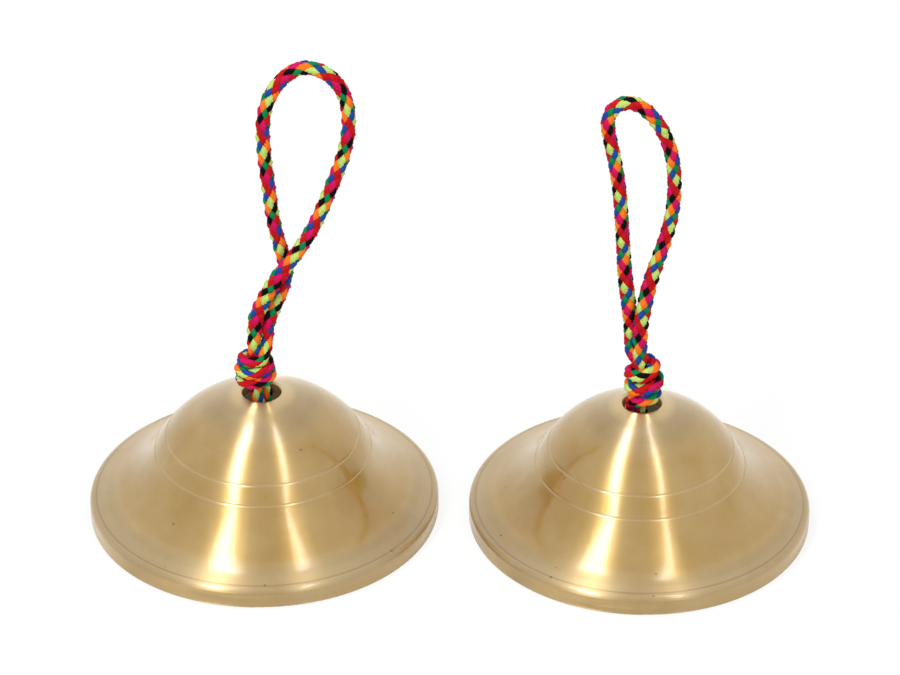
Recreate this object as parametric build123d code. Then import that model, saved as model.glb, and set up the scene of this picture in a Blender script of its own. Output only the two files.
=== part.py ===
from build123d import *
import math
import os

# A pair of brass hand cymbals, each with its own braided finger loop.
# Millimetres, +Z up. Both stand mouth down on z = 0, side by side along X.
# The origin is under the middle of the pair, on the surface that they stand on.

# Place of the pair
rim_gap = 5.7
pair_stagger = 3.15

# Outside of the left cymbal
left_diameter = 65.5
left_bell_height = 25.6
left_crown_radius = 23.3
left_flare_radius = 19.1
left_lower_groove = 13.9
left_upper_groove = 17.0

# Outside of the right cymbal, which is turned a little smaller
right_diameter = 63.8
right_bell_height = 25.1
right_crown_radius = 21.3
right_flare_radius = 20.2
right_lower_groove = 12.6
right_upper_groove = 16.3

# Top, rim and grooves of both. The top is a flatter arc than the crown and starts this far from the
# axis. The heights above are those that the crown's own arc would reach.
top_reach = 12.0
top_radius = 48.0
rim_height = 4.15
rim_top_round = 1.0
rim_foot_round = 0.7
groove_width = 0.6
groove_depth = 0.13

# Inside of both
wall = 2.4
rim_face_width = 5.4
rim_inner_round = 0.5
rim_root_round = 1.2
hole_diameter = 7.2
hole_lip_round = 0.5
hole_inner_round = 0.4

# Cord
cord_diameter = 2.7
strand_gap = 0.4
tail_clearance = 8.0
bend_share = 0.45

# Knots, where the cord is pulled tight and thin
tight_diameter = 2.0
wrap_gap = 0.45
hole_strand_gap = 0.45
wrap_radius = 2.6
wrap_bulge = 0.35
lead_angle = 58.0
lead_drop = 2.6
left_knot_turns = 3
left_knot_rise = 1.8
right_knot_turns = 4
right_knot_rise = 0.0
stopper_turns = 2
stopper_tail = 5.0
seat_clearance = 0.3

# Values that follow from the sizes above
left_radius = left_diameter / 2
right_radius = right_diameter / 2
pair_width = left_diameter + rim_gap + right_diameter
pair_front = min(-left_radius, -right_radius - pair_stagger)
pair_back = max(left_radius, right_radius - pair_stagger)
left_y = -(pair_front + pair_back) / 2
hole_radius = hole_diameter / 2
wrap_pitch = tight_diameter + wrap_gap
entry_spacing = cord_diameter + strand_gap
tight_spacing = tight_diameter + hole_strand_gap

# For each cymbal: its outside, its place, how its top knot is tied, where the straight strand stands
# in the hole, and the side on which the other strand comes down to wrap round it. The route of the
# finger loop goes up from the straight strand, over the top and down to the wrapping strand. Its
# points are measured from the hole's axis and, in height, from the upper end of the knot. The two
# ends are added to them.
SIDES = {
    "left": {
        "bell": {
            "diameter": left_diameter,
            "height": left_bell_height,
            "crown_radius": left_crown_radius,
            "flare_radius": left_flare_radius,
            "grooves": (left_lower_groove, left_upper_groove),
        },
        "place": (left_radius - pair_width / 2, left_y),
        "turns": left_knot_turns,
        "rise": left_knot_rise,
        "core": (-1.0, -0.5),
        "entry_angle": 20.0,
        "route": [
            (-1.0, -0.5, 3.8),
            (2.9, -1.7, 10.6),
            (7.1, -1.9, 15.8),
            (10.7, -0.5, 21.4),
            (13.3, 0.0, 28.0),
            (15.9, 0.0, 34.9),
            (17.2, 0.0, 41.6),
            (16.4, 0.0, 48.2),
            (13.0, 0.0, 52.4),
            (8.2, 0.0, 53.5),
            (3.6, 0.0, 49.1),
            (1.6, 0.0, 43.2),
            (1.7, 0.0, 35.8),
            (2.4, 0.2, 29.0),
            (2.9, 0.8, 22.2),
            (3.5, 1.8, 16.4),
            (4.5, 1.7, 10.3),
            (1.91, 0.56, 3.8),
        ],
    },
    "right": {
        "bell": {
            "diameter": right_diameter,
            "height": right_bell_height,
            "crown_radius": right_crown_radius,
            "flare_radius": right_flare_radius,
            "grooves": (right_lower_groove, right_upper_groove),
        },
        "place": (pair_width / 2 - right_radius, left_y - pair_stagger),
        "turns": right_knot_turns,
        "rise": right_knot_rise,
        "core": (-0.2, -0.9),
        "entry_angle": 140.0,
        "route": [
            (-0.2, -0.9, 3.8),
            (0.6, -0.9, 10.8),
            (2.6, -0.3, 17.2),
            (4.3, 0.0, 23.7),
            (4.7, 0.0, 30.0),
            (4.2, 0.0, 36.2),
            (2.4, 0.0, 41.6),
            (-0.3, 0.0, 45.5),
            (-3.4, 0.0, 47.6),
            (-6.4, 0.0, 46.7),
            (-7.7, 0.0, 44.0),
            (-7.5, 0.0, 40.7),
            (-6.6, 0.0, 36.8),
            (-5.4, 0.0, 30.7),
            (-4.6, 0.1, 24.2),
            (-3.9, 0.4, 17.1),
            (-3.4, 0.9, 10.6),
            (-2.57, 1.09, 3.8),
        ],
    },
}


def round_point(angle, radius):
    """A vector of this length, at this angle in degrees about Z."""
    return Vector(radius * math.cos(math.radians(angle)), radius * math.sin(math.radians(angle)))


def angle_at(center, point):
    """Direction from a centre to a point, in degrees from 0 to 360."""
    return math.degrees(math.atan2(point.Y - center.Y, point.X - center.X)) % 360


# Cymbal

class Bell:
    """Outside of a cymbal: an arc of crown about the axis, a flatter arc of top that touches it and goes
    on to the hole, and an arc of flare that touches it lower down and ends at the rim's shoulder. All
    points are radius and height."""

    def __init__(self, diameter, height, crown_radius, flare_radius, grooves):
        self.rim_radius = diameter / 2
        self.crown_radius = crown_radius
        self.flare_radius = flare_radius
        self.grooves = grooves
        self.crown = Vector(0, height - crown_radius)
        self.top_join = math.degrees(math.acos(top_reach / crown_radius))
        self.top = self.crown - round_point(self.top_join, top_radius - crown_radius)
        self.shoulder = Vector(self.rim_radius - rim_top_round, rim_height)
        self.flare = self.flare_center()
        self.join = angle_at(self.crown, self.flare)

    def flare_center(self):
        """Centre of the flare's arc."""
        to_shoulder = self.shoulder - self.crown
        reach = to_shoulder.length
        apart = self.crown_radius + self.flare_radius
        along = (reach**2 + apart**2 - self.flare_radius**2) / (2 * reach)
        across = math.sqrt(apart**2 - along**2)
        way = to_shoulder.normalized()
        return self.crown + way * along + Vector(-way.Y, way.X) * across

    def surface_at(self, height):
        """Point of the outside at this height, and the direction out of the metal there."""
        above = height - self.crown.Y
        if above >= self.crown_radius * math.sin(math.radians(self.join)):
            point = Vector(math.sqrt(self.crown_radius**2 - above**2), height)
            return point, (point - self.crown).normalized()
        below = self.flare.Y - height
        point = Vector(self.flare.X - math.sqrt(self.flare_radius**2 - below**2), height)
        return point, (self.flare - point).normalized()

    def height_above_top(self, distance, reach):
        """Height of a point this far outside the top's arc and this far from the axis."""
        return self.top.Y + math.sqrt((top_radius + distance) ** 2 - (reach - self.top.X) ** 2)


def bell_profile(bell):
    """The cymbal's section, as a face of radius and height."""
    inner_top = top_radius - wall
    inner_crown = bell.crown_radius - wall
    inner_flare = bell.flare_radius + wall
    inner_rim = bell.rim_radius - rim_face_width - rim_foot_round

    hole_top = math.degrees(math.acos((hole_radius - bell.top.X) / top_radius))
    hole_bottom = math.degrees(math.acos((hole_radius - bell.top.X) / inner_top))
    touch = bell.join + 180
    flare_foot = angle_at(bell.flare, bell.shoulder)
    root_height = bell.flare.Y - math.sqrt(inner_flare**2 - (inner_rim - bell.flare.X) ** 2)
    inner_foot = angle_at(bell.flare, Vector(inner_rim, root_height))

    with BuildSketch() as section:
        with BuildLine():
            lip = CenterArc(bell.top, top_radius, hole_top, bell.top_join - hole_top)
            CenterArc(bell.crown, bell.crown_radius, bell.top_join, bell.join - bell.top_join)
            CenterArc(bell.flare, bell.flare_radius, touch, flare_foot - touch)
            bead = CenterArc(bell.shoulder - Vector(0, rim_top_round), rim_top_round, 90, -90)
            side = Line(bead @ 1, (bell.rim_radius, 0))
            face = Line(side @ 1, (inner_rim, 0))
            root = Line(face @ 1, (inner_rim, root_height))
            CenterArc(bell.flare, inner_flare, inner_foot, touch - inner_foot)
            CenterArc(bell.crown, inner_crown, bell.join, bell.top_join - bell.join)
            cup = CenterArc(bell.top, inner_top, bell.top_join, hole_bottom - bell.top_join)
            Line(cup @ 1, lip @ 0)
        make_face()
        for point, radius in (
            (side @ 1, rim_foot_round),
            (face @ 1, rim_inner_round),
            (root @ 1, rim_root_round),
            (cup @ 1, hole_inner_round),
            (lip @ 0, hole_lip_round),
        ):
            fillet(section.vertices().sort_by_distance(point)[0], radius)
    return section.sketch


def groove_cutter(bell, height):
    """A ring of triangular section that scribes a line round the outside at this height."""
    surface, outward = bell.surface_at(height)
    mouth = surface + outward * groove_depth
    along = Vector(-outward.Y, outward.X) * groove_width
    triangle = make_face(
        Polyline(surface - outward * groove_depth, mouth + along, mouth - along, close=True)
    )
    return revolve(Plane.XZ * triangle, axis=Axis.Z)


def make_cymbal(bell):
    """One bell: crown, flared skirt and thick rim in one turned piece, with a hole for the cord."""
    cymbal = revolve(Plane.XZ * bell_profile(bell), axis=Axis.Z)
    for height in bell.grooves:
        cymbal -= groove_cutter(bell, height)
    return cymbal


# Cord paths

def bend_radii(points):
    """The bend at each inner point of a route, which takes up a set share of the shorter run beside it."""
    radii = []
    for before, corner, after in zip(points, points[1:], points[2:]):
        run_in = corner - before
        run_out = after - corner
        half_turn = math.radians(run_in.get_angle(run_out)) / 2
        radii.append(bend_share * min(run_in.length, run_out.length) / math.tan(half_turn))
    return radii


def tube(path, diameter):
    """A round strand along a path."""
    section = Plane(origin=path @ 0, z_dir=path % 0) * Circle(diameter / 2)
    return sweep(section, path=path)


def biarc(start, start_way, end, end_way):
    """Two arcs that join two points and leave each one along its own direction."""
    span = end - start
    ways = start_way + end_way
    bend = 1 - start_way.dot(end_way)
    reach = (math.sqrt(span.dot(ways) ** 2 + 2 * bend * span.dot(span)) - span.dot(ways)) / (2 * bend)
    middle = (start + end + (start_way - end_way) * reach) * 0.5
    first = TangentArc(start, middle, tangent=start_way)
    return [first, TangentArc(middle, end, tangent=first % 1)]


def wrap_height(turns):
    """Height between the first and the last wrap of a knot. The leads take up part of the turns."""
    return wrap_pitch * (turns - 2 * lead_angle / 360)


def quarter_count(turns):
    """How many arcs of about a quarter turn a knot's wraps are divided into."""
    return round((360 * turns - 2 * lead_angle) / 90)


def wrap_stations(axis, start_angle, turns, top, entry_radius, exit_radius):
    """Points and directions of a strand that comes down, winds round an axis and goes on down."""
    quarters = quarter_count(turns)
    quarter = (360 * turns - 2 * lead_angle) / quarters
    down = Vector(0, 0, -1)
    stations = [(axis + round_point(start_angle, entry_radius) + Vector(0, 0, top + lead_drop), down)]
    for step in range(quarters + 1):
        share = step / quarters
        angle = start_angle + lead_angle + quarter * step
        radius = wrap_radius + wrap_bulge * math.sin(math.pi * share)
        height = Vector(0, 0, top - wrap_pitch * quarter * step / 360)
        way = round_point(angle + 90, radius) + Vector(0, 0, -wrap_pitch / (2 * math.pi))
        stations.append((axis + round_point(angle, radius) + height, way.normalized()))
    bottom = top - wrap_height(turns)
    end_angle = start_angle + 360 * turns
    leaving = axis + round_point(end_angle, exit_radius) + Vector(0, 0, bottom - lead_drop)
    stations.append((leaving, down))
    return stations


def wrap_path(upper_end, stations, lower_end):
    """A straight lead, the wraps and a straight tail, as one unbroken path."""
    arcs = []
    for (start, start_way), (end, end_way) in zip(stations, stations[1:]):
        arcs += biarc(start, start_way, end, end_way)
    edges = [Line(upper_end, stations[0][0])] + arcs + [Line(stations[-1][0], lower_end)]
    return Wire([edge.edge() for edge in edges]), [arc.radius for arc in arcs]


# Measures that are printed

def sample(path, step):
    """Points about this far apart along a path."""
    count = max(2, round(path.length / step))
    return [path.position_at(k / count) for k in range(count + 1)]


def least_self_gap(path, diameter, step=0.4):
    """Least clear distance between stretches of a strand that lie over three diameters apart along it."""
    points = sample(path, step)
    skip = math.ceil(math.pi * diameter / step)
    gaps = [
        (points[i] - points[j]).length - diameter
        for i in range(len(points))
        for j in range(i + skip, len(points))
    ]
    return min(gaps)


def least_gap(path, other, diameter, step=0.4):
    """Least clear distance between two strands of the same diameter."""
    near = sample(other, step)
    return min((a - b).length - diameter for a in sample(path, step) for b in near)


def report_tube(name, solid, path, diameter, radii):
    """Print a strand's bends and compare its volume with its section times its length."""
    expected = math.pi * diameter**2 / 4 * path.length
    print(f"{name}: length {path.length:.1f}, volume {solid.volume:.1f} of {expected:.1f} expected")
    print(f"{name}: bend radii {', '.join(f'{radius:.1f}' for radius in radii)}")


# One cymbal with its cord

def make_cord(side, bell, lie):
    """The knots, the neck and the finger loop of one cymbal, about the hole's axis."""
    core = Vector(*lie["core"])
    entry_angle = lie["entry_angle"]
    turns = lie["turns"]
    wrapper = core + round_point(entry_angle, tight_spacing)
    clear = seat_clearance + tight_diameter / 2

    # The top knot stands a little above the crown, as the cord is drawn up until the other knot meets
    # the crown from inside. Its wrapping strand goes on down through the hole.
    seat = bell.height_above_top(clear, core.length + wrap_radius)
    knot_bottom = seat + lie["rise"]
    knot_top = knot_bottom + wrap_height(turns)
    upper_end = knot_top + lead_drop + tight_diameter
    wraps = wrap_stations(core, entry_angle, turns, knot_top, entry_spacing, tight_spacing)
    knot_entry = core + round_point(entry_angle, entry_spacing) + Vector(0, 0, upper_end)
    knot_path, knot_radii = wrap_path(knot_entry, wraps, wrapper + Vector(0, 0, tail_clearance))

    # The straight strand goes down through that knot and winds round the other one inside the bell.
    stopper_top = bell.height_above_top(-wall - clear, wrapper.length + wrap_radius)
    stops = wrap_stations(
        wrapper, entry_angle + 180, stopper_turns, stopper_top, tight_spacing, tight_spacing
    )
    core_end = core + Vector(0, 0, upper_end)
    tail_end = stops[-1][0] - Vector(0, 0, stopper_tail)
    stopper_path, stopper_radii = wrap_path(core_end, stops, tail_end)

    # The loop is one cord from end to end. Its neck is cut off where two runs are half way.
    lift = Vector(0, 0, upper_end)
    route = [core_end] + [Vector(*point) + lift for point in lie["route"]] + [knot_entry]
    radii = bend_radii(route)
    first_cut = (route[1] + route[2]) * 0.5
    last_cut = (route[-3] + route[-2]) * 0.5
    loop_path = FilletPolyline(first_cut, *route[2:-2], last_cut, radius=radii[1:-1])
    core_neck = FilletPolyline(*route[:2], first_cut, radius=radii[:1])
    wrapper_neck = FilletPolyline(last_cut, *route[-2:], radius=radii[-1:])

    top_knot = tube(knot_path, tight_diameter)
    stopper_knot = tube(stopper_path, tight_diameter)
    finger_loop = tube(loop_path, cord_diameter)
    necks = [tube(core_neck, cord_diameter), tube(wrapper_neck, cord_diameter)]

    report_tube(f"{side}_finger_loop", finger_loop, loop_path, cord_diameter, radii)
    report_tube(f"{side}_top_knot", top_knot, knot_path, tight_diameter, knot_radii)
    report_tube(f"{side}_stopper_knot", stopper_knot, stopper_path, tight_diameter, stopper_radii)
    print(f"{side} top knot from {knot_bottom:.2f} to {knot_top:.2f}, upper end at {upper_end:.2f}")
    print(f"{side} stopper's first wrap at {stopper_top:.2f}")
    print(f"{side} least gap of the loop to itself {least_self_gap(loop_path, cord_diameter):.2f}")
    print(f"{side} least gap of the top knot to itself {least_self_gap(knot_path, tight_diameter):.2f}")
    print(f"{side} least gap of the stopper to itself {least_self_gap(stopper_path, tight_diameter):.2f}")
    print(f"{side} least gap between the strands {least_gap(knot_path, stopper_path, tight_diameter):.2f}")

    return {
        "finger_loop": finger_loop,
        "loop_neck": Compound(children=[neck.solid() for neck in necks]),
        "top_knot": top_knot,
        "stopper_knot": stopper_knot,
    }


os.makedirs("parts", exist_ok=True)
for side, lie in SIDES.items():
    bell = Bell(**lie["bell"])
    nodes = {"cymbal": make_cymbal(bell)}
    nodes.update(make_cord(side, bell, lie))
    for name, solid in nodes.items():
        export_step(Pos(*lie["place"], 0) * solid, f"parts/{side}_{name}.step")
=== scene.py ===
"""Looks for a pair of tingsha cymbals: turned brass bells, each with its own braided finger loop."""

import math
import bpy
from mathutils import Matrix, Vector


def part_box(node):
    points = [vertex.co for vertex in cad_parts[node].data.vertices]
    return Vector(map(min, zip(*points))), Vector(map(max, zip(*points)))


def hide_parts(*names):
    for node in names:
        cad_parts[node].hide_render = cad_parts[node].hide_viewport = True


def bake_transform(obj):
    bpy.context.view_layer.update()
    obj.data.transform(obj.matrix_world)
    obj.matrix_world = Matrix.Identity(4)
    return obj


bl_info = {
    "name": "Tingsha Cymbals",
    "version": (1, 0, 0),
    "blender": (4, 5, 0),
    "location": "View3D > Sidebar > Tingsha",
    "description": "Dresses a pair of tingsha cymbals in turned brass and braided cord",
    "category": "Object",
}

import bpy
from bpy.props import (
    FloatProperty,
    FloatVectorProperty,
    IntProperty,
    PointerProperty,
)
from mathutils import Matrix, Vector

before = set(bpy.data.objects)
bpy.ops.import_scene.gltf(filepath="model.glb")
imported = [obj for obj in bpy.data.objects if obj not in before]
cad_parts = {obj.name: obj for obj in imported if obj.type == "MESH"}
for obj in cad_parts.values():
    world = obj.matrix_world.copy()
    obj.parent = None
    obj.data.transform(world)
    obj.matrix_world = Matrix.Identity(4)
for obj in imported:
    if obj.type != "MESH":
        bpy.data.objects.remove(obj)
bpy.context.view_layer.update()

MM = 0.001
SIDES = ("left", "right")
YARNS = 8

# The route of each cord, in millimetres, with the points repeated from the part's source. They are
# measured from the hole's axis. The straight strand stands at core in the hole, and the other strand
# at wrapper. The top knot winds round its own axis. The points of the neck and of the wraps are moved
# a little from the source, and the top knot's wraps turn the other way, to follow the photograph.
ROUTES = {
    "left": {
        "core": (-1.0, -0.5),
        "wrapper": (1.3, 0.34),
        "stopper_angle": 200.0,
        "stopper_top": 22.17,
        "knot_entry": (1.4, 0.4, 36.8),
        "knot_axis": (-1.0, -0.5),
        "knot_angle": 20.0,
        "knot_turns": 3,
        "knot_top": 34.2,
        "knot_pitch": 2.05,
        "knot_radii": (2.0, 2.35, 2.8, 2.85, 2.4),
        "knot_share": 0.88,
        "upper_end": 40.57,
        "loop": (
            (-1.05, -0.5, 0.0),
            (0.1, -0.6, 3.8),
            (3.3, -1.5, 10.6),
            (7.1, -1.7, 15.8),
            (10.7, -0.5, 21.4),
            (13.3, 0.0, 28.0),
            (15.9, 0.0, 34.9),
            (17.2, 0.0, 41.6),
            (16.4, 0.0, 48.2),
            (13.0, 0.0, 52.4),
            (8.2, 0.0, 53.5),
            (3.6, 0.0, 49.1),
            (1.6, 0.0, 43.2),
            (1.7, 0.0, 35.8),
            (2.4, 0.2, 29.0),
            (2.9, 0.8, 22.2),
            (3.9, 1.6, 16.4),
            (5.5, 1.3, 10.3),
            (2.9, 0.5, 3.8),
            (1.4, 0.4, 0.0),
        ),
    },
    "right": {
        "core": (-0.2, -0.9),
        "wrapper": (-2.08, 0.67),
        "stopper_angle": 320.0,
        "stopper_top": 21.36,
        "knot_entry": (-2.2, 0.5, 35.2),
        "knot_axis": (0.1, -0.4),
        "knot_angle": 140.0,
        "knot_turns": 3,
        "knot_top": 34.3,
        "knot_pitch": 2.75,
        "knot_radii": (1.5, 2.4, 2.5, 2.3, 1.8),
        "knot_share": 1.0,
        "upper_end": 41.02,
        "loop": (
            (-0.9, -0.9, 0.0),
            (-0.5, -0.9, 3.8),
            (0.6, -0.9, 10.8),
            (2.6, -0.3, 17.2),
            (4.3, 0.0, 23.7),
            (4.7, 0.0, 30.0),
            (4.2, 0.0, 36.2),
            (2.4, 0.0, 41.6),
            (-0.3, 0.0, 45.5),
            (-3.4, 0.0, 47.6),
            (-6.4, 0.0, 46.7),
            (-7.7, 0.0, 44.0),
            (-7.3, 0.0, 40.7),
            (-6.4, 0.0, 36.8),
            (-5.3, 0.0, 30.7),
            (-4.7, 0.1, 24.2),
            (-4.2, 0.4, 17.1),
            (-3.7, 0.8, 10.6),
            (-2.7, 0.8, 3.8),
            (-2.3, 0.8, 0.0),
        ),
    },
}

# Sizes of the wound knots and of the neck, in millimetres and degrees. The shares are of the loop's
# radius.
LEAD_ANGLE = 58.0
LEAD_DROP = 2.6
NECK_POINTS = 3
NECK_SHARE = 1.1
STOPPER_PITCH = 2.45
STOPPER_RADII = (2.6, 2.95, 2.6)
STOPPER_TURNS = 2
STOPPER_SHARE = 0.87
STOPPER_TAIL = 5.0
TAIL_HEIGHT = 8.0
WRAP_STEP = 30.0

# Each cord's lay, as a share of the setting.
LAY_SHARES = {"left": 1.06, "right": 0.98}

# Half of each yarn's width, in degrees round the cord. The dark yarns are thin.
YARN_HALF_WIDTHS = (52.0, 58.0, 38.0, 58.0, 38.0, 58.0, 38.0, 58.0)

# The weave, as shares of the cord's radius: the distance from the middle of the cord to the middle of
# a yarn, how far the yarn rises and dips from there, and half of its thickness.
YARN_DISTANCE = 0.54
YARN_RISE = 0.18
YARN_HALF_THICKNESS = 0.28

# The pattern of the filaments, in millimetres: the thickness of a bundle, half of the width that the
# bundles of a yarn are spread over, and the distance between the patterns of two yarns. Along the
# yarn only a share of the length counts, which draws the bundles out.
FILAMENT_BUNDLE = 0.15
FILAMENT_HALF_WIDTH = 0.9
FILAMENT_APART = 50.0
FILAMENT_SHARE = 0.12

# Heights of the scribed lines and of the crease above the rim, and half of their widths, in
# millimetres.
GROOVE_HEIGHTS = {"left": (13.9, 17.0), "right": (12.6, 16.3)}
GROOVE_HALF_WIDTH = 0.2
CREASE_HEIGHT = 4.22
CREASE_HALF_WIDTH = 0.06

# Where the brass changes, in millimetres: from where a change begins to where it is complete. The
# first four are counted along the bell's side, as the radius less the height, which is about -22 at
# the hole's lip and 32 at the foot of the rim. The lip is a radius, and the rim's side is a height.
# The first two bound the painted shade on the flank: it begins below the crown and fades out before
# the top of the rim.
SHADE_STARTS = (-20.0, -6.0)
SHADE_STOPS = (19.0, 26.0)
CROWN_DULLED = (-17.0, -8.0)
RIM_DULLED = (21.0, 24.0)
LIP_POLISHED = (4.2, 7.5)
RIM_SIDE_TOP = (3.2, 3.8)

# How much painted shade, tarnish, painted highlight or pit dirt there is, as shares of its colour.
FLANK_SHADE = 0.8
RIM_SHADE_FADE = 0.75
RIM_SIDE_SHADE = 0.35
PATCH_TARNISH = 0.2
GROOVE_HIGHLIGHT = 0.22
CREASE_SHADE = 0.28
PIT_DIRT = 0.7

# How much the roughness of the brass changes.
RINGS_ROUGHER = 0.2
CROWN_ROUGHER = 0.18
RIM_ROUGHER = 0.12
LIP_SMOOTHER = 0.3

# Size of the patches of tarnish and distance between the pits, in millimetres. The edge of a pit is a
# share of that distance.
PATCH_SIZE = 9.0
PIT_SPACING = 6.0
PIT_EDGE = (0.03, 0.05)

# Width of the camera's sensor, in millimetres.
SENSOR_WIDTH = 36.0

# The strip lamps: each one's width and its two ends, in metres.
STRIPS = {
    "key_strip": {"width": 0.28, "start": (-1.1, -2.02, 0.94), "end": (-0.44, 0.18, 1.94)},
    "fill_strip": {"width": 0.09, "start": (0.88, -2.02, 0.94), "end": (0.31, 0.18, 1.94)},
}

# The lamps' faintly cool light, and the white of the floor's glow and of the even light.
LAMP_COLOUR = (0.93, 0.97, 1.0)
WHITE = (1.0, 1.0, 1.0, 1.0)

# Half of the floor's side, in metres, and how much of its white the camera and a mirrored ray see.
FLOOR_HALF_SIDE = 2.0
FLOOR_WHITE_SEEN = 0.85
FLOOR_WHITE_MIRRORED = 0.12

# Numbers of a Mix node's sockets for colours, because its names repeat for each kind of data.
MIX_SHARE = 0
MIX_FIRST = 6
MIX_SECOND = 7
MIX_RESULT = 2


def srgb(code):
    """Linear red, green, blue and alpha of an sRGB hex colour."""
    shares = [int(code[i : i + 2], 16) / 255 for i in (1, 3, 5)]
    linear = [s / 12.92 if s <= 0.04045 else ((s + 0.055) / 1.055) ** 2.4 for s in shares]
    return (*linear, 1.0)


def add(tree, kind, inputs=(), **settings):
    """Add a node with its settings, and give each named or numbered input a value or a link."""
    node = tree.nodes.new(kind)
    for name, value in settings.items():
        setattr(node, name, value)
    pairs = inputs.items() if isinstance(inputs, dict) else enumerate(inputs)
    for key, value in pairs:
        if isinstance(value, bpy.types.NodeSocket):
            tree.links.new(value, node.inputs[key])
        else:
            node.inputs[key].default_value = value
    return node


def new_material(name):
    """An empty node material and its output node."""
    material = bpy.data.materials.new(name)
    material.use_nodes = True
    material.node_tree.nodes.clear()
    output = add(material.node_tree, "ShaderNodeOutputMaterial")
    return material, output


def hole_axis(side):
    """Place of a bell's axis, in metres."""
    low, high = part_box(f"{side}_cymbal")
    return (low + high) / 2


# Settings that a user would change


def colour_setting(name, description, code):
    """A colour that a user may change, with an sRGB hex value as its default."""
    return FloatVectorProperty(
        name=name,
        description=description,
        subtype="COLOR",
        size=4,
        min=0.0,
        max=1.0,
        default=srgb(code),
    )


class TINGSHA_PG_brass(bpy.types.PropertyGroup):
    """Finish of the turned bells."""

    body_colour: colour_setting("Body colour", "Colour of the satin brass", "#D6B982")
    # The warm colour is the painted shade on the flank and on the side of the rim, and the colour of
    # the faint patches of tarnish.
    shade_and_tarnish_colour: colour_setting(
        "Warm colour",
        "Colour of the faintly tarnished brass on the flank and on the side of the rim",
        "#B9923F",
    )
    # The pit colour is the dirt in the casting pits, and the painted shade in the crease above the
    # rim.
    pit_dirt_and_crease_shade_colour: colour_setting(
        "Pit colour",
        "Colour of the dirt in the small casting pits and in the crease above the rim",
        "#6E5330",
    )
    # The line colour is a painted highlight along the edges of the two scribed lines.
    groove_highlight_colour: colour_setting(
        "Line colour",
        "Colour of the bright edges of the two scribed lines",
        "#E4D0A8",
    )
    roughness: FloatProperty(
        name="Roughness",
        description="Roughness of the smoothest of the turned rings",
        subtype="FACTOR",
        min=0.0,
        max=1.0,
        default=0.32,
    )
    stretch: FloatProperty(
        name="Stretch",
        description="How far the turning marks draw a highlight out into a streak",
        subtype="FACTOR",
        min=0.0,
        max=1.0,
        default=1.0,
    )
    ring_spacing: FloatProperty(
        name="Ring spacing",
        description="Mean distance between the marks that the turning tool left",
        unit="LENGTH",
        min=0.00005,
        default=0.35 * MM,
    )


class TINGSHA_PG_cord(bpy.types.PropertyGroup):
    """Sizes and colours of the braided cords."""

    diameter: FloatProperty(
        name="Cord diameter",
        description="Diameter of the loop's braid",
        unit="LENGTH",
        min=0.0005,
        default=2.78 * MM,
    )
    lay: FloatProperty(
        name="Lay",
        description="Length of cord in which a yarn goes once round",
        unit="LENGTH",
        min=0.001,
        default=10.0 * MM,
    )
    step: FloatProperty(
        name="Step",
        description="Distance between the rings of vertices along a yarn",
        unit="LENGTH",
        min=0.0001,
        default=0.3 * MM,
    )
    section_points: IntProperty(
        name="Section points",
        description="Vertices round each yarn",
        min=4,
        default=8,
    )
    red: colour_setting(
        "Red",
        "First yarn of the set that turns left, and second of the other",
        "#C4161F",
    )
    lime: colour_setting("Lime", "Second yarn of the set that turns left", "#C9E274")
    green: colour_setting("Green", "Third yarn of the set that turns left", "#0B874C")
    pink: colour_setting("Pink", "Fourth yarn of the set that turns left", "#D9185F")
    black: colour_setting("Black", "First yarn of the set that turns right", "#0E0608")
    blue: colour_setting("Blue", "Third yarn of the set that turns right", "#1E479A")
    orange: colour_setting("Orange", "Fourth yarn of the set that turns right", "#FB7B22")


class TINGSHA_PG_stage(bpy.types.PropertyGroup):
    """Camera, floor and lamps."""

    elevation: FloatProperty(
        name="Elevation",
        description="Height of the camera above the horizon",
        subtype="ANGLE",
        default=math.radians(31.95),
    )
    distance: FloatProperty(
        name="Distance",
        description="Distance from the camera to the point that it looks at",
        unit="LENGTH",
        min=0.1,
        default=0.711,
    )
    lens: FloatProperty(
        name="Lens",
        description="Focal length in millimetres on a sensor 36 mm wide",
        min=1.0,
        default=155.3,
    )
    aim: FloatVectorProperty(
        name="Aim",
        description="Point that the camera looks at",
        subtype="XYZ",
        unit="LENGTH",
        size=3,
        default=(0.15 * MM, -0.42 * MM, 38.66 * MM),
    )
    key_power: FloatProperty(
        name="Key power",
        description="Power of the strip lamp on the left",
        unit="POWER",
        min=0.0,
        default=22.0,
    )
    fill_power: FloatProperty(
        name="Fill power",
        description="Power of the narrow strip lamp on the right",
        unit="POWER",
        min=0.0,
        default=7.0,
    )
    sky_level: FloatProperty(
        name="Sky level",
        description="Strength of the even light from all round",
        min=0.0,
        default=0.62,
    )
    floor_colour: colour_setting(
        "Floor colour",
        "Colour of the matt card that the cymbals stand on",
        "#F4F4F2",
    )


# Materials


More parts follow.
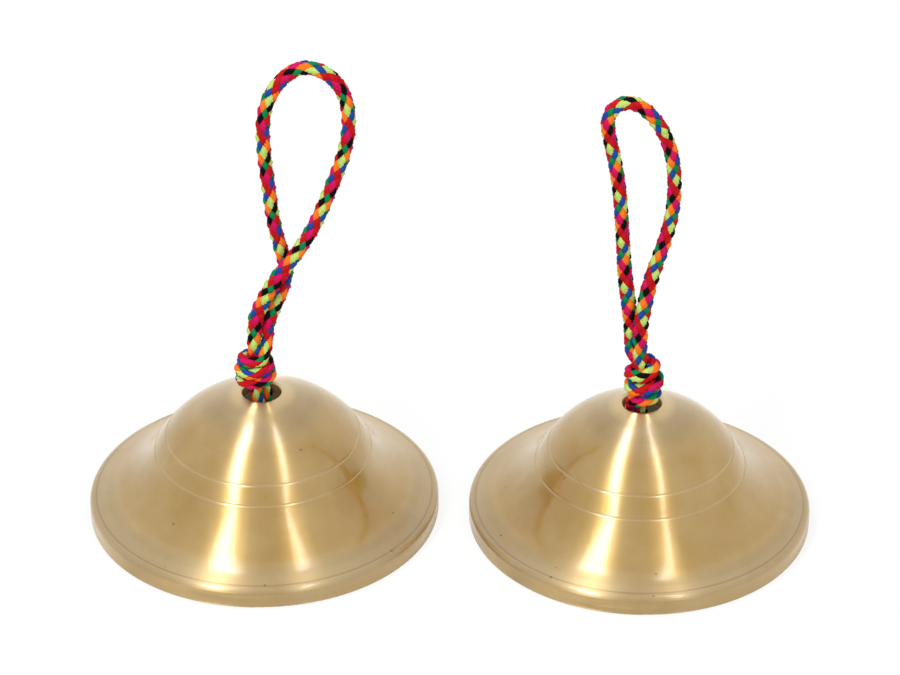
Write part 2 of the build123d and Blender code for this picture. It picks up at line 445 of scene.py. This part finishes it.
def brass_colour(tree, side, settings, normal, place, height, along):
    """Socket with the colour of the brass.

    The crown and the top of the rim stay pale. Painted shade gives the hollow flank between them and
    the side of the rim a darker, warmer tone, and faint patches of tarnishing lie over the brass.
    """
    # Painted shade: a darker, warmer tone on the hollow flank, fading out on the crown and towards the
    # top of the rim.
    below_crown = add(
        tree,
        "ShaderNodeMapRange",
        {
            "Value": along,
            "From Min": SHADE_STARTS[0] * MM,
            "From Max": SHADE_STARTS[1] * MM,
            "To Max": FLANK_SHADE,
        },
        interpolation_type="SMOOTHSTEP",
    )
    near_rim = add(
        tree,
        "ShaderNodeMapRange",
        {
            "Value": along,
            "From Min": SHADE_STOPS[0] * MM,
            "From Max": SHADE_STOPS[1] * MM,
            "To Max": RIM_SHADE_FADE,
        },
        interpolation_type="SMOOTHSTEP",
    )
    flank = add(
        tree, "ShaderNodeMath", [below_crown.outputs[0], near_rim.outputs[0]], operation="SUBTRACT"
    )
    # Painted shade on the side of the rim, below its rounded top.
    rim_side = add(
        tree,
        "ShaderNodeMapRange",
        {
            "Value": height,
            "From Min": RIM_SIDE_TOP[0] * MM,
            "From Max": RIM_SIDE_TOP[1] * MM,
            "To Min": RIM_SIDE_SHADE,
            "To Max": 0.0,
        },
    )
    painted_shade = add(tree, "ShaderNodeMath", [flank.outputs[0], rim_side.outputs[0]], operation="ADD")
    # Faint patches of tarnish, at random, are added to the painted shade.
    patches = add(
        tree,
        "ShaderNodeTexNoise",
        {"Vector": place, "Scale": 1 / (PATCH_SIZE * MM), "Detail": 3.0, "Roughness": 0.55},
    )
    patchy = add(
        tree,
        "ShaderNodeMapRange",
        {
            "Value": patches.outputs[0],
            "From Min": 0.3,
            "From Max": 0.7,
            "To Min": -PATCH_TARNISH,
            "To Max": PATCH_TARNISH,
        },
    )
    shaded_and_tarnished = add(
        tree,
        "ShaderNodeMath",
        [painted_shade.outputs[0], patchy.outputs[0]],
        operation="ADD",
        use_clamp=True,
    )

    # Painted highlights brighten the edges of the two scribed lines, and painted shade darkens the
    # crease above the rim.
    facing = add(tree, "ShaderNodeSeparateXYZ", [normal])
    outside = add(tree, "ShaderNodeMath", [facing.outputs[2], 0.0], operation="GREATER_THAN")
    lines = [
        add(
            tree,
            "ShaderNodeMath",
            [height, groove * MM, GROOVE_HALF_WIDTH * MM],
            operation="COMPARE",
        )
        for groove in GROOVE_HEIGHTS[side]
    ]
    # Painted highlight on the two scribed lines, on the outside only.
    either = add(
        tree, "ShaderNodeMath", [lines[0].outputs[0], lines[1].outputs[0]], operation="MAXIMUM"
    )
    outside_highlight = add(tree, "ShaderNodeMath", [outside.outputs[0], GROOVE_HIGHLIGHT], operation="MULTIPLY")
    groove_highlight = add(tree, "ShaderNodeMath", [either.outputs[0], outside_highlight.outputs[0]], operation="MULTIPLY")
    # Painted shade in the crease above the rim, on the outside only.
    crease = add(
        tree,
        "ShaderNodeMath",
        [height, CREASE_HEIGHT * MM, CREASE_HALF_WIDTH * MM],
        operation="COMPARE",
    )
    dirt_and_shade = add(tree, "ShaderNodeMath", [outside.outputs[0], CREASE_SHADE], operation="MULTIPLY")
    crease_shade = add(tree, "ShaderNodeMath", [crease.outputs[0], dirt_and_shade.outputs[0]], operation="MULTIPLY")

    # A few pits of about half a millimetre, left by the casting.
    cells = add(tree, "ShaderNodeTexVoronoi", {"Vector": place, "Scale": 1 / (PIT_SPACING * MM)})
    pitted = add(
        tree,
        "ShaderNodeMapRange",
        {
            "Value": cells.outputs["Distance"],
            "From Min": PIT_EDGE[0],
            "From Max": PIT_EDGE[1],
            "To Min": PIT_DIRT,
            "To Max": 0.0,
        },
    )
    # Painted shade with tarnish, a painted highlight on the scribed lines, painted shade in the
    # crease, and dirt in the pits.
    covers = (
        (shaded_and_tarnished, settings.shade_and_tarnish_colour),
        (groove_highlight, settings.groove_highlight_colour),
        (crease_shade, settings.pit_dirt_and_crease_shade_colour),
        (pitted, settings.pit_dirt_and_crease_shade_colour),
    )
    colour = settings.body_colour
    for share, cover in covers:
        mixed = add(
            tree,
            "ShaderNodeMix",
            {MIX_SHARE: share.outputs[0], MIX_FIRST: colour, MIX_SECOND: cover},
            data_type="RGBA",
        )
        colour = mixed.outputs[MIX_RESULT]
    return colour


def brass_roughness(tree, settings, rings, radius, along):
    """Socket with the roughness of the brass.

    Hands have dulled the metal on the crown and beside the rim, and the cord keeps the hole's lip
    bright.
    """
    crown = add(
        tree,
        "ShaderNodeMapRange",
        {
            "Value": along,
            "From Min": CROWN_DULLED[0] * MM,
            "From Max": CROWN_DULLED[1] * MM,
            "To Min": settings.roughness + CROWN_ROUGHER,
            "To Max": settings.roughness,
        },
        interpolation_type="SMOOTHSTEP",
    )
    rim = add(
        tree,
        "ShaderNodeMapRange",
        {
            "Value": along,
            "From Min": RIM_DULLED[0] * MM,
            "From Max": RIM_DULLED[1] * MM,
            "To Max": RIM_ROUGHER,
        },
        interpolation_type="SMOOTHSTEP",
    )
    dulled = add(tree, "ShaderNodeMath", [crown.outputs[0], rim.outputs[0]], operation="ADD")
    lip = add(
        tree,
        "ShaderNodeMapRange",
        {
            "Value": radius,
            "From Min": LIP_POLISHED[0] * MM,
            "From Max": LIP_POLISHED[1] * MM,
            "To Min": -LIP_SMOOTHER,
            "To Max": 0.0,
        },
        interpolation_type="SMOOTHSTEP",
    )
    uneven = add(tree, "ShaderNodeMath", [dulled.outputs[0], lip.outputs[0]], operation="ADD")
    roughness = add(
        tree,
        "ShaderNodeMath",
        [rings, RINGS_ROUGHER, uneven.outputs[0]],
        operation="MULTIPLY_ADD",
    )
    return roughness.outputs[0]


def turned_brass(side, settings):
    """Brass turned on a lathe, left satin and covered with thin clear lacquer.

    The tool's fine rings draw each highlight out into a streak from the crown to the rim, and the
    lacquer gives the streak its white middle. The rings and a trace of tarnishing break the colour up
    a little. Painted shade darkens the flank, the side of the rim and the crease above it, and a
    painted highlight brightens the edges of the scribed lines.
    """
    material, output = new_material(f"turned_brass_{side}")
    tree = material.node_tree
    centre = hole_axis(side)
    coordinates = add(tree, "ShaderNodeTexCoord")
    place = add(
        tree,
        "ShaderNodeMapping",
        {"Vector": coordinates.outputs["Object"], "Location": (-centre.x, -centre.y, 0.0)},
    )
    parts = add(tree, "ShaderNodeSeparateXYZ", [place.outputs[0]])
    height = parts.outputs[2]
    outward = add(tree, "ShaderNodeCombineXYZ", {"X": parts.outputs[0], "Y": parts.outputs[1]})
    length = add(tree, "ShaderNodeVectorMath", [outward.outputs[0]], operation="LENGTH")
    radius = length.outputs["Value"]

    # The streaks run from the hole to the rim, so the tangent points away from the axis.
    tangent = add(
        tree,
        "ShaderNodeVectorTransform",
        [outward.outputs[0]],
        vector_type="VECTOR",
        convert_from="OBJECT",
        convert_to="WORLD",
    )
    straight = add(tree, "ShaderNodeVectorMath", [tangent.outputs[0]], operation="NORMALIZE")

    # Distance along the bell's side, near enough: it grows with the radius and as the side drops.
    along = add(tree, "ShaderNodeMath", [radius, height], operation="SUBTRACT").outputs[0]
    ring = add(tree, "ShaderNodeMath", [along, settings.ring_spacing], operation="DIVIDE")
    fine_rings = add(
        tree,
        "ShaderNodeTexNoise",
        {"W": ring.outputs[0], "Scale": 1.0, "Detail": 3.0, "Roughness": 0.6},
        noise_dimensions="1D",
    )
    rings = fine_rings.outputs[0]
    bump = add(
        tree, "ShaderNodeBump", {"Strength": 0.12, "Distance": 0.02 * MM, "Height": rings}
    )
    normal = coordinates.outputs["Normal"]
    surface = add(
        tree,
        "ShaderNodeBsdfPrincipled",
        {
            "Base Color": brass_colour(
                tree, side, settings, normal, place.outputs[0], height, along
            ),
            "Metallic": 1.0,
            "Roughness": brass_roughness(tree, settings, rings, radius, along),
            "Anisotropic": settings.stretch,
            "Tangent": straight.outputs[0],
            "Normal": bump.outputs[0],
            "Coat Weight": 1.0,
            "Coat Roughness": 0.15,
            "Coat IOR": 1.7,
        },
    )
    tree.links.new(surface.outputs[0], output.inputs["Surface"])
    return material


def polyester_braid():
    """Braided polyester cord, soft and almost matt.

    Each yarn is one dyed colour, and its filaments show as fine lines that run along it.
    """
    material, output = new_material("braided_polyester")
    tree = material.node_tree
    dye = add(tree, "ShaderNodeAttribute", attribute_name="yarn_colour")
    fibre = add(tree, "ShaderNodeAttribute", attribute_name="yarn_fibre")
    # Filaments are about 0.03 mm thick, drawn here as bundles of about 0.15 mm so that they show.
    lines = add(
        tree,
        "ShaderNodeTexNoise",
        {"Vector": fibre.outputs["Vector"], "Scale": 1 / (FILAMENT_BUNDLE * MM), "Detail": 2.0},
    )
    tone = add(
        tree,
        "ShaderNodeMapRange",
        {
            "Value": lines.outputs[0],
            "From Min": 0.3,
            "From Max": 0.7,
            "To Min": 0.86,
            "To Max": 1.08,
        },
    )
    colour = add(
        tree,
        "ShaderNodeVectorMath",
        {0: dye.outputs["Color"], "Scale": tone.outputs[0]},
        operation="SCALE",
    )
    bump = add(
        tree,
        "ShaderNodeBump",
        {"Strength": 0.35, "Distance": 0.05 * MM, "Height": lines.outputs[0]},
    )
    surface = add(
        tree,
        "ShaderNodeBsdfPrincipled",
        {
            "Base Color": colour.outputs[0],
            "Roughness": 0.6,
            "Specular IOR Level": 0.06,
            "Normal": bump.outputs[0],
        },
    )
    tree.links.new(surface.outputs[0], output.inputs["Surface"])
    return material


# The cords


def wound(axis, way, start_angle, turns, top, pitch, radii, entry, leave):
    """Points of a strand that comes down at entry, winds round an axis and goes on down at leave.

    The way is 1 for turns to the left, seen from above, and -1 for turns to the right. The wraps go
    through the given radii at even steps. The spline passes inside the points of a round turn, so they
    stand a little further out.
    """
    outside = 1 / math.cos(math.radians(WRAP_STEP / 2))
    wrap_angle = 360 * turns - 2 * LEAD_ANGLE
    count = round(wrap_angle / WRAP_STEP)
    bottom = top - pitch * wrap_angle / 360
    points = [entry]
    for i in range(count + 1):
        share = i / count
        place = share * (len(radii) - 1)
        low = min(int(place), len(radii) - 2)
        radius = (radii[low] + (radii[low + 1] - radii[low]) * (place - low)) * outside
        angle = math.radians(start_angle + way * (LEAD_ANGLE + wrap_angle * share))
        height = top + (bottom - top) * share
        points.append(
            Vector((axis.x + radius * math.cos(angle), axis.y + radius * math.sin(angle), height))
        )
    points.append(Vector((leave.x, leave.y, bottom - LEAD_DROP)))
    return points


def cord_points(side):
    """Control points of one cord from its first cut end to its last, in metres, and their radii.

    The cord starts inside the bell, winds round its own other end under the crown, goes up through
    the hole, makes the finger loop, winds round itself on top of the crown and goes down again. The
    radii are shares of the loop's radius: less where the cord is pulled tight, and more in the neck,
    where it is pushed together.
    """
    route = ROUTES[side]
    core = Vector(route["core"])
    wrapper = Vector(route["wrapper"])
    loop = [Vector((x, y, z + route["upper_end"])) for x, y, z in route["loop"]]
    stopper = wound(
        wrapper,
        1,
        route["stopper_angle"],
        STOPPER_TURNS,
        route["stopper_top"],
        STOPPER_PITCH,
        STOPPER_RADII,
        Vector((*core, route["stopper_top"] + LEAD_DROP)),
        core,
    )
    inside = [stopper[-1] - Vector((0.0, 0.0, STOPPER_TAIL))] + stopper[::-1]
    knot = wound(
        Vector(route["knot_axis"]),
        -1,
        route["knot_angle"],
        route["knot_turns"],
        route["knot_top"],
        route["knot_pitch"],
        route["knot_radii"],
        Vector(route["knot_entry"]),
        wrapper,
    )
    outside = knot + [Vector((wrapper.x, wrapper.y, TAIL_HEIGHT))]
    open_loop = [1.0] * (len(loop) - 2 * NECK_POINTS)
    neck = [NECK_SHARE] * NECK_POINTS
    radii = [STOPPER_SHARE] * len(inside) + neck + open_loop + neck
    radii += [route["knot_share"]] * len(knot) + [STOPPER_SHARE]
    centre = hole_axis(side)
    place = Vector((centre.x, centre.y, 0.0))
    return [place + point * MM for point in inside + loop + outside], radii


def route_curve(side):
    """The cord's centreline as one smooth spline."""
    points, radii = cord_points(side)
    data = bpy.data.curves.new(f"{side}_cord_route", "CURVE")
    data.dimensions = "3D"
    data.resolution_u = 12
    spline = data.splines.new("NURBS")
    spline.points.add(len(points) - 1)
    for row, point, radius in zip(spline.points, points, radii):
        row.co = (*point, 1.0)
        row.radius = radius
    spline.order_u = 3
    spline.use_endpoint_u = True
    curve = bpy.data.objects.new(data.name, data)
    bpy.context.scene.collection.objects.link(curve)
    return curve


def braid_inputs(tree, settings):
    """Give the braid's tree its named inputs and its output, and return its input node."""
    left_turning = (settings.red, settings.lime, settings.green, settings.pink)
    right_turning = (settings.black, settings.red, settings.blue, settings.orange)
    sockets = [
        ("Route", "NodeSocketGeometry", None),
        ("Diameter", "NodeSocketFloat", settings.diameter),
        ("Lay", "NodeSocketFloat", settings.lay),
        ("Step", "NodeSocketFloat", settings.step),
        ("Section Points", "NodeSocketInt", settings.section_points),
    ]
    for number, dye in enumerate(left_turning + right_turning, 1):
        sockets.append((f"Yarn {number}", "NodeSocketColor", dye))
    for name, kind, default in sockets:
        socket = tree.interface.new_socket(name=name, in_out="INPUT", socket_type=kind)
        if default is not None:
            socket.default_value = default
    tree.interface.new_socket(name="Braid", in_out="OUTPUT", socket_type="NodeSocketGeometry")
    return add(tree, "NodeGroupInput")


def yarn_tubes(tree, given):
    """One tube along the route for each yarn.

    Returns the tubes, the node that knows the route at each of their points, and the node with the
    place on the tube's round section, from -1 to 1 across the yarn and from -1 to 1 through it.
    """
    even = add(
        tree,
        "GeometryNodeResampleCurve",
        {"Curve": given.outputs["Route"], "Length": given.outputs["Step"]},
        mode="LENGTH",
    )
    copies = add(
        tree,
        "GeometryNodeDuplicateElements",
        {"Geometry": even.outputs[0], "Amount": YARNS},
        domain="SPLINE",
    )
    normal = add(tree, "GeometryNodeInputNormal")
    tangent = add(tree, "GeometryNodeInputTangent")
    across = add(
        tree,
        "ShaderNodeVectorMath",
        [tangent.outputs[0], normal.outputs[0]],
        operation="CROSS_PRODUCT",
    )
    known = add(tree, "GeometryNodeCaptureAttribute", domain="POINT")
    tree.links.new(copies.outputs["Geometry"], known.inputs["Geometry"])
    facts = (
        ("Centre", "VECTOR", add(tree, "GeometryNodeInputPosition").outputs[0]),
        ("Normal", "VECTOR", normal.outputs[0]),
        ("Across", "VECTOR", across.outputs[0]),
        ("Length", "FLOAT", add(tree, "GeometryNodeSplineParameter").outputs["Length"]),
        ("Radius", "FLOAT", add(tree, "GeometryNodeInputRadius").outputs[0]),
        ("Yarn", "INT", copies.outputs["Duplicate Index"]),
    )
    for name, kind, socket in facts:
        known.capture_items.new(kind, name)
        tree.links.new(socket, known.inputs[name])

    section = add(
        tree,
        "GeometryNodeCurvePrimitiveCircle",
        {"Resolution": given.outputs["Section Points"], "Radius": 1.0},
        mode="RADIUS",
    )
    shape = add(tree, "GeometryNodeCaptureAttribute", domain="POINT")
    tree.links.new(section.outputs["Curve"], shape.inputs["Geometry"])
    shape.capture_items.new("VECTOR", "Section")
    tree.links.new(add(tree, "GeometryNodeInputPosition").outputs[0], shape.inputs["Section"])
    tubes = add(
        tree,
        "GeometryNodeCurveToMesh",
        {
            "Curve": known.outputs["Geometry"],
            "Profile Curve": shape.outputs["Geometry"],
            "Fill Caps": True,
        },
    )
    flat = add(tree, "ShaderNodeSeparateXYZ", [shape.outputs["Section"]])
    return tubes, known, flat


def woven_place(tree, given, known, flat, half_width):
    """Socket with the place of each point of the yarns.

    Four yarns turn each way round the cord, over one and under one.
    """
    each_way = YARNS // 2
    waves = each_way / 2

    # Yarns 1 to 4 turn left along the cord, and yarns 5 to 8 turn right.
    between_sets = each_way - 0.5
    later = add(
        tree, "ShaderNodeMath", [known.outputs["Yarn"], between_sets], operation="GREATER_THAN"
    )
    way = add(tree, "ShaderNodeMath", [later.outputs[0], 2.0, -1.0], operation="MULTIPLY_ADD")
    number = add(tree, "ShaderNodeMath", [known.outputs["Yarn"], each_way], operation="MODULO")
    turns = add(
        tree, "ShaderNodeMath", [known.outputs["Length"], given.outputs["Lay"]], operation="DIVIDE"
    )
    travel = add(tree, "ShaderNodeMath", [turns.outputs[0], math.tau], operation="MULTIPLY")
    behind = add(
        tree,
        "ShaderNodeMath",
        [number.outputs[0], -math.tau / each_way, travel.outputs[0]],
        operation="MULTIPLY_ADD",
    )
    middle = add(tree, "ShaderNodeMath", [behind.outputs[0], way.outputs[0]], operation="MULTIPLY")
    angle = add(
        tree,
        "ShaderNodeMath",
        [flat.outputs[0], half_width, middle.outputs[0]],
        operation="MULTIPLY_ADD",
    )

    # Each yarn rises over a yarn of the other set and dips under the next one.
    waved = add(tree, "ShaderNodeMath", [travel.outputs[0], waves], operation="MULTIPLY")
    signed = add(tree, "ShaderNodeMath", [waved.outputs[0], way.outputs[0]], operation="MULTIPLY")
    phase = add(
        tree,
        "ShaderNodeMath",
        [angle.outputs[0], waves, signed.outputs[0]],
        operation="MULTIPLY_ADD",
    )
    wave = add(tree, "ShaderNodeMath", [phase.outputs[0]], operation="COSINE")
    half_turn = add(tree, "ShaderNodeMath", [number.outputs[0], math.pi], operation="MULTIPLY")
    parity = add(tree, "ShaderNodeMath", [half_turn.outputs[0]], operation="COSINE")
    sign = add(tree, "ShaderNodeMath", [parity.outputs[0], way.outputs[0]], operation="MULTIPLY")
    rise = add(tree, "ShaderNodeMath", [wave.outputs[0], sign.outputs[0]], operation="MULTIPLY")
    quarter = add(tree, "ShaderNodeMath", [rise.outputs[0], -math.pi / 2], operation="MULTIPLY")
    eased = add(tree, "ShaderNodeMath", [quarter.outputs[0]], operation="SINE")
    lift = add(
        tree,
        "ShaderNodeMath",
        [eased.outputs[0], YARN_RISE, YARN_DISTANCE],
        operation="MULTIPLY_ADD",
    )
    reach = add(
        tree,
        "ShaderNodeMath",
        [flat.outputs[1], YARN_HALF_THICKNESS, lift.outputs[0]],
        operation="MULTIPLY_ADD",
    )
    half = add(tree, "ShaderNodeMath", [given.outputs["Diameter"], 0.5], operation="MULTIPLY")
    size = add(
        tree, "ShaderNodeMath", [known.outputs["Radius"], half.outputs[0]], operation="MULTIPLY"
    )
    distance = add(tree, "ShaderNodeMath", [reach.outputs[0], size.outputs[0]], operation="MULTIPLY")

    # The point lies that far from the middle of the cord, at the yarn's angle round it.
    cosine = add(tree, "ShaderNodeMath", [angle.outputs[0]], operation="COSINE")
    sine = add(tree, "ShaderNodeMath", [angle.outputs[0]], operation="SINE")
    first = add(
        tree,
        "ShaderNodeVectorMath",
        {0: known.outputs["Normal"], "Scale": cosine.outputs[0]},
        operation="SCALE",
    )
    second = add(
        tree,
        "ShaderNodeVectorMath",
        {0: known.outputs["Across"], "Scale": sine.outputs[0]},
        operation="SCALE",
    )
    heading = add(tree, "ShaderNodeVectorMath", [first.outputs[0], second.outputs[0]], operation="ADD")
    offset = add(
        tree,
        "ShaderNodeVectorMath",
        {0: heading.outputs[0], "Scale": distance.outputs[0]},
        operation="SCALE",
    )
    place = add(
        tree, "ShaderNodeVectorMath", [known.outputs["Centre"], offset.outputs[0]], operation="ADD"
    )
    return place.outputs[0]


def braid_tree(settings, material):
    """Geometry nodes that braid eight yarns round a curve."""
    tree = bpy.data.node_groups.new("braided_cord", "GeometryNodeTree")
    given = braid_inputs(tree, settings)
    tubes, known, flat = yarn_tubes(tree, given)

    # Each yarn has its own width and dye. The wide yarns take up more than their quarter turn, so that
    # their thin edges lie under their neighbours.
    width = add(tree, "GeometryNodeIndexSwitch", data_type="FLOAT")
    dye = add(tree, "GeometryNodeIndexSwitch", data_type="RGBA")
    for switch in (width, dye):
        while len(switch.index_switch_items) < YARNS:
            switch.index_switch_items.new()
        tree.links.new(known.outputs["Yarn"], switch.inputs["Index"])
    for number, half_width in enumerate(YARN_HALF_WIDTHS, 1):
        width.inputs[number].default_value = math.radians(half_width)
        tree.links.new(given.outputs[f"Yarn {number}"], dye.inputs[number])
    place = woven_place(tree, given, known, flat, width.outputs[0])
    placed = add(
        tree, "GeometryNodeSetPosition", {"Geometry": tubes.outputs[0], "Position": place}
    )
    dyed = add(
        tree,
        "GeometryNodeStoreNamedAttribute",
        {"Geometry": placed.outputs[0], "Name": "yarn_colour", "Value": dye.outputs[0]},
        data_type="FLOAT_COLOR",
        domain="POINT",
    )

    # The filaments run along the yarn, so their pattern changes fast across it and slowly along it.
    sideways = add(
        tree, "ShaderNodeMath", [flat.outputs[0], FILAMENT_HALF_WIDTH * MM], operation="MULTIPLY"
    )
    slow = add(
        tree, "ShaderNodeMath", [known.outputs["Length"], FILAMENT_SHARE], operation="MULTIPLY"
    )
    apart = add(
        tree, "ShaderNodeMath", [known.outputs["Yarn"], FILAMENT_APART * MM], operation="MULTIPLY"
    )
    fibre = add(
        tree,
        "ShaderNodeCombineXYZ",
        [sideways.outputs[0], slow.outputs[0], apart.outputs[0]],
    )
    lined = add(
        tree,
        "GeometryNodeStoreNamedAttribute",
        {"Geometry": dyed.outputs[0], "Name": "yarn_fibre", "Value": fibre.outputs[0]},
        data_type="FLOAT_VECTOR",
        domain="POINT",
    )
    smooth = add(tree, "GeometryNodeSetShadeSmooth", {"Geometry": lined.outputs[0]})
    real = add(tree, "GeometryNodeRealizeInstances", {"Geometry": smooth.outputs[0]})
    dressed = add(
        tree,
        "GeometryNodeSetMaterial",
        {"Geometry": real.outputs[0], "Material": material},
    )
    add(tree, "NodeGroupOutput", [dressed.outputs[0]])
    return tree


def braid_along(curve, tree, name, values):
    """A plain mesh object of the braid along a curve, with values for some of the tree's inputs."""
    modifier = curve.modifiers.new("Braid", "NODES")
    modifier.node_group = tree
    for item in tree.interface.items_tree:
        if item.in_out == "INPUT" and item.name in values:
            modifier[item.identifier] = values[item.name]
    made = curve.evaluated_get(bpy.context.evaluated_depsgraph_get())
    mesh = bpy.data.meshes.new_from_object(made)
    mesh.name = name
    piece = bpy.data.objects.new(name, mesh)
    bpy.context.scene.collection.objects.link(piece)
    curve.modifiers.remove(modifier)
    return piece


def centreline(curve):
    """Points along a curve's smooth line, in metres."""
    mesh = bpy.data.meshes.new_from_object(curve)
    line = [vertex.co.copy() for vertex in mesh.vertices]
    bpy.data.meshes.remove(mesh)
    return line


class TINGSHA_OT_braid_cords(bpy.types.Operator):
    """Braid both cords, with their finger loops and knots."""

    bl_idname = "tingsha.braid_cords"
    bl_label = "Braid the Cords"

    def execute(self, context):
        settings = context.scene.tingsha_cord
        tree = braid_tree(settings, polyester_braid())
        for side in SIDES:
            curve = route_curve(side)
            line = centreline(curve)
            values = {"Lay": LAY_SHARES[side] * settings.lay}
            piece = braid_along(curve, tree, f"{side}_braided_cord", values)
            bpy.data.objects.remove(curve)
            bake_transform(piece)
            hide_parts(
                f"{side}_finger_loop",
                f"{side}_loop_neck",
                f"{side}_top_knot",
                f"{side}_stopper_knot",
            )
        return {"FINISHED"}


class TINGSHA_OT_finish_bells(bpy.types.Operator):
    """Give both bells their turned brass."""

    bl_idname = "tingsha.finish_bells"
    bl_label = "Finish the Bells"

    def execute(self, context):
        for side in SIDES:
            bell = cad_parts[f"{side}_cymbal"]
            bell.data.materials.clear()
            bell.data.materials.append(turned_brass(side, context.scene.tingsha_brass))
        return {"FINISHED"}


# The stage


def seen_rays(tree):
    """One for the rays that see the background, straight or in a reflection, and zero for the rest."""
    rays = add(tree, "ShaderNodeLightPath")
    mirrored = add(
        tree,
        "ShaderNodeMath",
        [rays.outputs["Is Camera Ray"], rays.outputs["Is Glossy Ray"]],
        operation="ADD",
    )
    seen = add(
        tree,
        "ShaderNodeMath",
        [mirrored.outputs[0], rays.outputs["Is Transmission Ray"]],
        operation="ADD",
        use_clamp=True,
    )
    return seen.outputs[0]


def strip_lamp(name, power):
    """A long strip lamp from one end to the other, turned to face the cymbals."""
    strip = STRIPS[name]
    start = Vector(strip["start"])
    end = Vector(strip["end"])
    middle = (start + end) / 2
    along = (end - start).normalized()
    away = middle - middle.dot(along) * along
    turn = Matrix((along.cross(away.normalized()), along, away.normalized())).transposed()
    data = bpy.data.lights.new(name, "AREA")
    data.shape = "RECTANGLE"
    data.size = strip["width"]
    data.size_y = (end - start).length
    data.energy = power
    data.color = LAMP_COLOUR
    lamp = bpy.data.objects.new(name, data)
    lamp.matrix_world = Matrix.LocRotScale(middle, turn.to_quaternion(), None)
    lamp.visible_camera = False
    bpy.context.scene.collection.objects.link(lamp)


def white_card(settings):
    """Matt white card. The camera sees it as white, with a trace of the cymbals' own shadow."""
    material, output = new_material("matt_white_card")
    tree = material.node_tree
    matt = add(
        tree, "ShaderNodeBsdfDiffuse", {"Color": settings.floor_colour, "Roughness": 0.5}
    )
    glow = add(tree, "ShaderNodeEmission", {"Color": WHITE, "Strength": 1.0})
    rays = add(tree, "ShaderNodeLightPath")
    mirrored = add(
        tree,
        "ShaderNodeMath",
        [rays.outputs["Is Glossy Ray"], FLOOR_WHITE_MIRRORED],
        operation="MULTIPLY",
    )
    share = add(
        tree,
        "ShaderNodeMath",
        [rays.outputs["Is Camera Ray"], FLOOR_WHITE_SEEN, mirrored.outputs[0]],
        operation="MULTIPLY_ADD",
    )
    mixed = add(
        tree, "ShaderNodeMixShader", [share.outputs[0], matt.outputs[0], glow.outputs[0]]
    )
    tree.links.new(mixed.outputs[0], output.inputs["Surface"])
    return material


class TINGSHA_OT_set_stage(bpy.types.Operator):
    """Set up the camera, the floor, the lamps and the even light."""

    bl_idname = "tingsha.set_stage"
    bl_label = "Set the Stage"

    def execute(self, context):
        settings = context.scene.tingsha_stage
        scene = context.scene
        scene.view_settings.view_transform = "Standard"

        data = bpy.data.cameras.new("camera")
        data.sensor_width = SENSOR_WIDTH
        data.lens = settings.lens
        data.clip_start = 0.01
        data.clip_end = 20.0
        camera = bpy.data.objects.new("camera", data)
        scene.collection.objects.link(camera)
        back = Vector((0.0, -math.cos(settings.elevation), math.sin(settings.elevation)))
        camera.location = Vector(settings.aim) + back * settings.distance
        camera.rotation_euler = (math.pi / 2 - settings.elevation, 0.0, 0.0)
        scene.camera = camera

        half = FLOOR_HALF_SIDE
        mesh = bpy.data.meshes.new("floor")
        corners = ((-half, -half, 0.0), (half, -half, 0.0), (half, half, 0.0), (-half, half, 0.0))
        mesh.from_pydata(corners, [], [(0, 1, 2, 3)])
        mesh.materials.append(white_card(settings))
        floor = bpy.data.objects.new("floor", mesh)
        scene.collection.objects.link(floor)

        # Both rise from low in front to high above, so each draws a streak down every bell.
        strip_lamp("key_strip", settings.key_power)
        strip_lamp("fill_strip", settings.fill_power)

        world = bpy.data.worlds.new("even_light")
        world.use_nodes = True
        tree = world.node_tree
        tree.nodes.clear()
        light = add(
            tree,
            "ShaderNodeBackground",
            {"Color": WHITE, "Strength": settings.sky_level},
        )
        white = add(tree, "ShaderNodeBackground", {"Color": WHITE, "Strength": 1.0})
        mixed = add(
            tree, "ShaderNodeMixShader", [seen_rays(tree), light.outputs[0], white.outputs[0]]
        )
        add(tree, "ShaderNodeOutputWorld", {"Surface": mixed.outputs[0]})
        scene.world = world
        return {"FINISHED"}


class TINGSHA_PT_panel(bpy.types.Panel):
    """Lists the steps and their settings."""

    bl_idname = "TINGSHA_PT_panel"
    bl_label = "Tingsha Cymbals"
    bl_space_type = "VIEW_3D"
    bl_region_type = "UI"
    bl_category = "Tingsha"

    def draw(self, context):
        groups = (
            ("tingsha.set_stage", context.scene.tingsha_stage),
            ("tingsha.braid_cords", context.scene.tingsha_cord),
            ("tingsha.finish_bells", context.scene.tingsha_brass),
        )
        for operator, settings in groups:
            box = self.layout.box()
            box.operator(operator)
            for name in settings.bl_rna.properties.keys():
                if name not in {"rna_type", "name"}:
                    box.prop(settings, name)


CLASSES = (
    TINGSHA_PG_brass,
    TINGSHA_PG_cord,
    TINGSHA_PG_stage,
    TINGSHA_OT_set_stage,
    TINGSHA_OT_braid_cords,
    TINGSHA_OT_finish_bells,
    TINGSHA_PT_panel,
)


def register():
    """Add the classes and their settings."""
    for item in CLASSES:
        bpy.utils.register_class(item)
    bpy.types.Scene.tingsha_brass = PointerProperty(type=TINGSHA_PG_brass)
    bpy.types.Scene.tingsha_cord = PointerProperty(type=TINGSHA_PG_cord)
    bpy.types.Scene.tingsha_stage = PointerProperty(type=TINGSHA_PG_stage)


def unregister():
    """Take the settings and the classes away again."""
    del bpy.types.Scene.tingsha_stage
    del bpy.types.Scene.tingsha_cord
    del bpy.types.Scene.tingsha_brass
    for item in reversed(CLASSES):
        bpy.utils.unregister_class(item)


def main():
    """Dress the cymbals."""
    register()
    bpy.ops.tingsha.set_stage()
    bpy.ops.tingsha.braid_cords()
    bpy.ops.tingsha.finish_bells()


if __name__ == "__main__":
    main()
